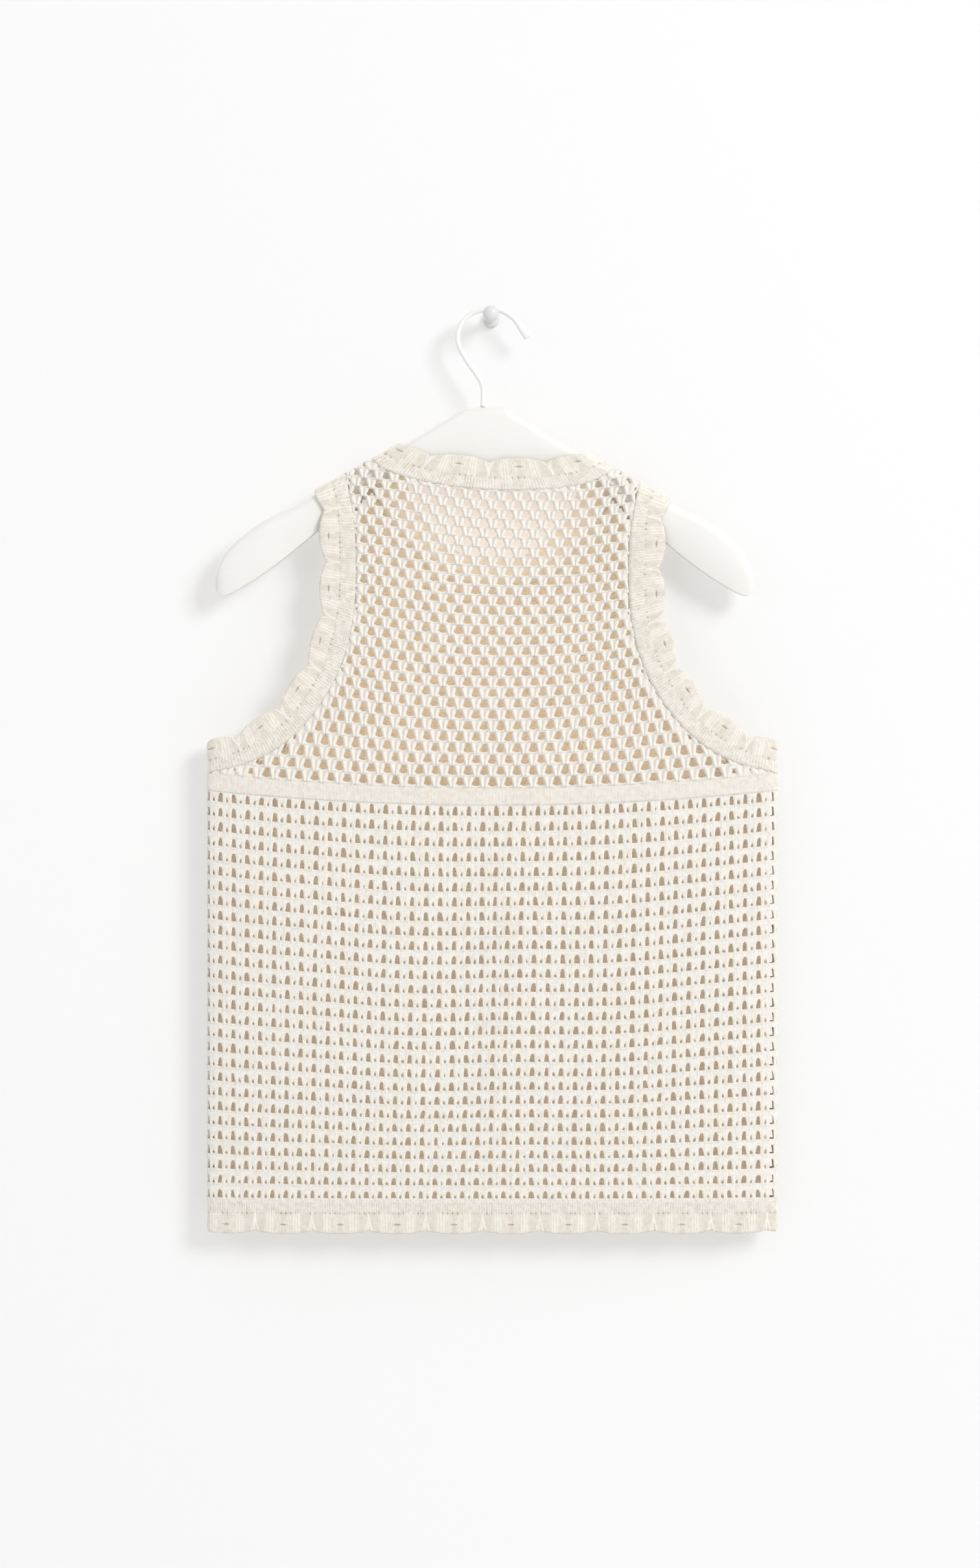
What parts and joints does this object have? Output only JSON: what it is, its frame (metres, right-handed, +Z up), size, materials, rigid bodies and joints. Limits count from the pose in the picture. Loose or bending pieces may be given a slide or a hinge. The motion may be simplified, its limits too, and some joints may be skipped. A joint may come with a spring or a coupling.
{
  "type": "knit tank top on a hanger and wall peg",
  "caption": "Sleeveless openwork knit top with scalloped rib trims, hung flat on a contoured wooden hanger whose wire hook rests on a wall peg.",
  "frame": {"origin": "middle of the peg's flat back, where it meets the wall", "axes": "+Z up, -Y out from the wall towards the viewer, who sees the back of the top, +X to the viewer's right"},
  "size_m": [0.4026, 0.033, 0.6527],
  "materials": {
    "knit": "matte ecru openwork knit with faint heather flecks",
    "trim": "matte ecru fine rib knit with a scalloped edge",
    "lining": "matte tan jersey",
    "wood": "satin white paint",
    "wire": "satin white coating",
    "peg": "satin white paint"
  },
  "bodies": {
    "root": {"back_panel": "knit", "front_panel": "knit", "front_lining": "lining", "neck_trim_back": "trim", "neck_trim_front": "trim", "armhole_trim_left_back": "trim", "armhole_trim_left_front": "trim", "armhole_trim_right_back": "trim", "armhole_trim_right_front": "trim", "hem_trim_back": "trim", "hem_trim_front": "trim", "hanger_body": "wood", "hanger_hook": "wire", "wall_peg": "peg"}
  },
  "joints": []
}
